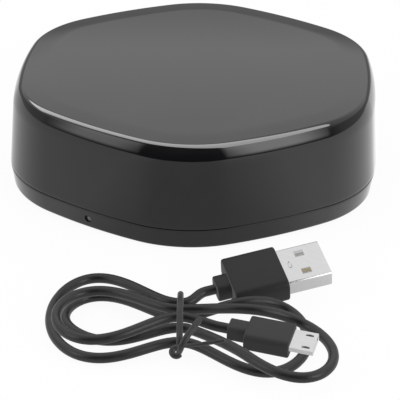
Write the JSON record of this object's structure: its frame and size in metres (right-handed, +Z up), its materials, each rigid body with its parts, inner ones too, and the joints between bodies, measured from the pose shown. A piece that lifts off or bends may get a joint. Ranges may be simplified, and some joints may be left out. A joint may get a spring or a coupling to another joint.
{
  "type": "smart-home radio hub",
  "caption": "Low six-cornered gloss black radio hub with rounded bulging sides and a recessed button, beside its wound black power cable held by a twist tie.",
  "frame": {"origin": "middle of the hub's footprint, on the surface that it stands on", "axes": "+Z up; +X towards a corner of the hub; +Y towards the back, where the power port is; the button is on the -Y side"},
  "size_m": [0.1489, 0.1604, 0.0302],
  "materials": {
    "gloss_shell": "polished black moulding",
    "rubber": "matte",
    "screw_steel": "zinc plated",
    "circuit_board": "solder mask",
    "blue_board": "solder mask",
    "plated_sheet": "nickel plated sheet",
    "can_metal": "satin",
    "gold_contact": "gold plated",
    "black_insert": "matte",
    "grey_button": "satin",
    "tinted_lens": "dark tinted clear",
    "diode_white": "translucent white",
    "ferrite": "sintered",
    "label_film": "satin film",
    "cord_sheath": "satin sheath",
    "plug_grip": "fine satin",
    "white_insert": "satin",
    "tie_cover": "satin cover over wire"
  },
  "bodies": {
    "hub": {"top_cover": "gloss_shell", "base_tray": "gloss_shell", "rubber_feet": "rubber", "case_screws": "screw_steel", "main_board": "circuit_board", "board_screws": "screw_steel", "usb_socket_shell": "plated_sheet", "usb_socket_tongue": "black_insert", "usb_socket_contacts": "gold_contact", "reset_switch": "black_insert", "wifi_module": "blue_board", "wifi_shield_can": "can_metal", "zigbee_module": "circuit_board", "zigbee_shield_can": "can_metal", "zigbee_antenna": "gold_contact", "ir_leds": "tinted_lens", "ir_receiver": "black_insert", "status_leds": "diode_white", "power_inductor": "ferrite", "regulator_chip": "black_insert", "capacitors": "can_metal", "crystal": "can_metal", "blank_label": "label_film", "cord_hank": "cord_sheath", "usb_a_neck": "plug_grip", "usb_a_grip": "plug_grip", "usb_a_shell": "plated_sheet", "usb_a_tongue": "white_insert", "usb_a_contacts": "gold_contact", "micro_plug_neck": "plug_grip", "micro_plug_grip": "plug_grip", "micro_plug_shell": "plated_sheet", "micro_plug_core": "black_insert", "micro_plug_contacts": "gold_contact", "micro_plug_latches": "plated_sheet", "twist_tie": "tie_cover"},
    "button": {"reset_button": "grey_button", "switch_plunger": "black_insert"}
  },
  "joints": [
    {"name": "button_press", "type": "slide", "parent": "hub", "child": "button", "axis": [0, 1, 0], "range_m": [0, 0.0003], "stiffness_N_per_m": 5000, "springref_m": -0.0001}
  ]
}
